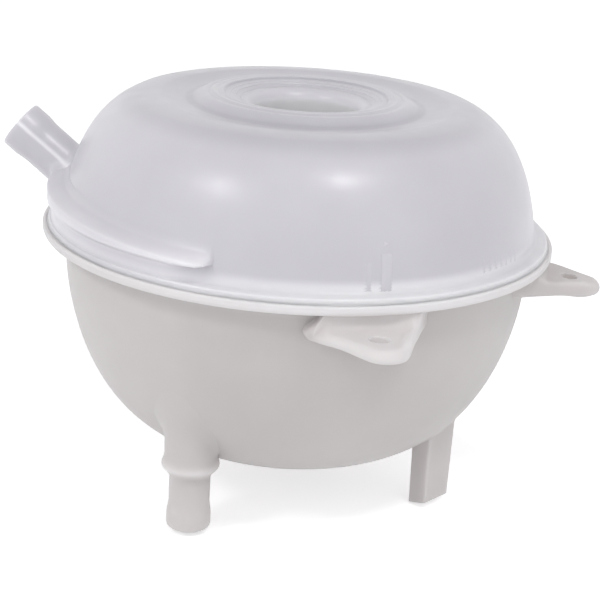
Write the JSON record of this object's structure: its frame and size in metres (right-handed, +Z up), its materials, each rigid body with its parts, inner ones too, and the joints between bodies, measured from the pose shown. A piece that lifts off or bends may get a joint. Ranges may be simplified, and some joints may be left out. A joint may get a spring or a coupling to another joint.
{
  "type": "coolant expansion tank",
  "caption": "Round coolant expansion tank of milky plastic: two half shells welded at a flange, with an open filler neck, a vent spigot, an outlet spigot, a peg and lugs.",
  "frame": {"origin": "on the tank's axis, where the filler neck's straight bore begins below its rounded mouth; the weld plane of the two shells lies 40.5 mm below it", "axes": "+Z up along the filler neck, -Y towards the two mounting lugs, +X to the right seen from the lugs' side"},
  "size_m": [0.18, 0.1882, 0.1418],
  "materials": {
    "upper_shell": "milky translucent polypropylene, satin",
    "lower_shell": "milky translucent polypropylene, fine matt"
  },
  "bodies": {
    "root": {"upper_shell": "upper_shell", "lower_shell": "lower_shell"}
  },
  "joints": []
}
